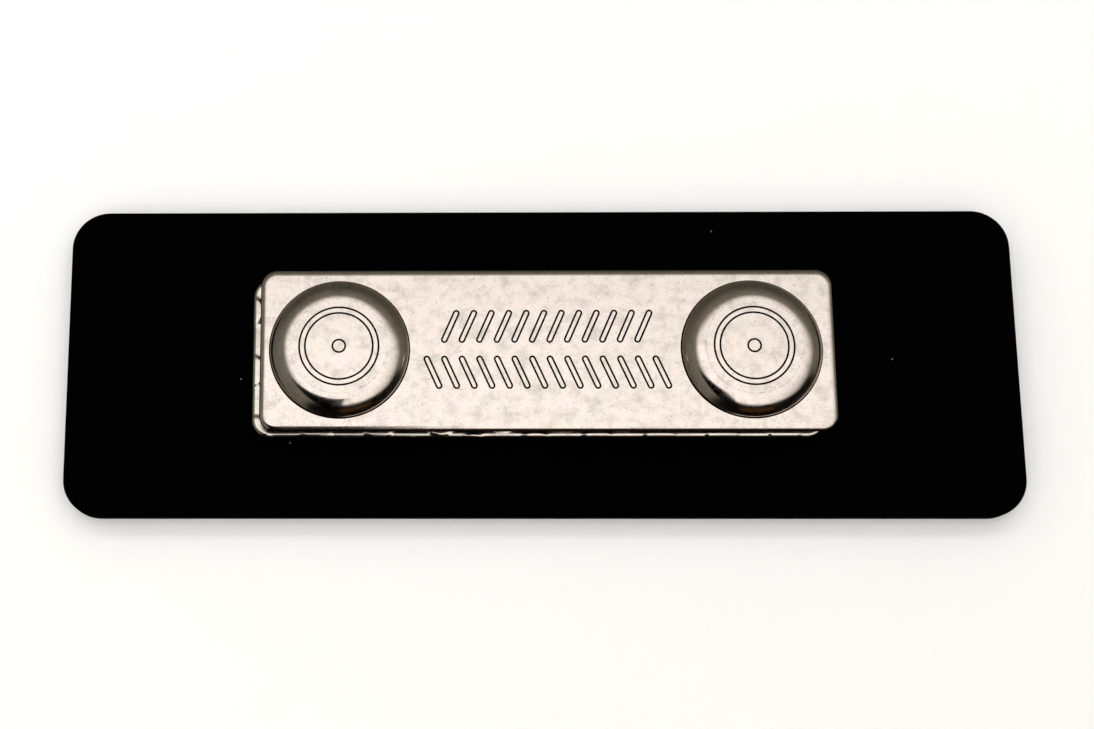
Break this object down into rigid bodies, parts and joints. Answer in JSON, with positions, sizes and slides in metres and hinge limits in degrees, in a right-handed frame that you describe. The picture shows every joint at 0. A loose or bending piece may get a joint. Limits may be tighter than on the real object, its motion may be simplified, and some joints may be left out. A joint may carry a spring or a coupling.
{
  "type": "name badge with magnetic fastener",
  "caption": "Flat rectangular badge plate with rounded corners, lying face down, with a steel strip stuck to its back and a loose magnet bar that clamps cloth against the strip.",
  "frame": {"origin": "middle of the plate's front face, which lies on the surface", "axes": "+X along the badge, +Y across it, +Z out of its back"},
  "size_m": [0.076, 0.025, 0.0057],
  "materials": {
    "plate_plastic": "black engraving laminate with a satin back",
    "foam_tape": "dark grey foam mounting tape, matte",
    "strip_plating": "nickel-plated embossed steel sheet, bright",
    "housing_plating": "nickel-plated pressed steel, satin bright with a warm tone",
    "magnet_plating": "nickel-plated magnet, bright"
  },
  "bodies": {
    "badge": {"name_plate": "plate_plastic", "adhesive_pad": "foam_tape", "steel_strip": "strip_plating"},
    "magnet_bar": {"housing": "housing_plating", "magnet_left": "magnet_plating", "magnet_right": "magnet_plating"}
  },
  "joints": [
    {"name": "bar_lift", "type": "slide", "parent": "badge", "child": "magnet_bar", "axis": [0, 0, 1], "range_m": [0, 0.02]}
  ]
}
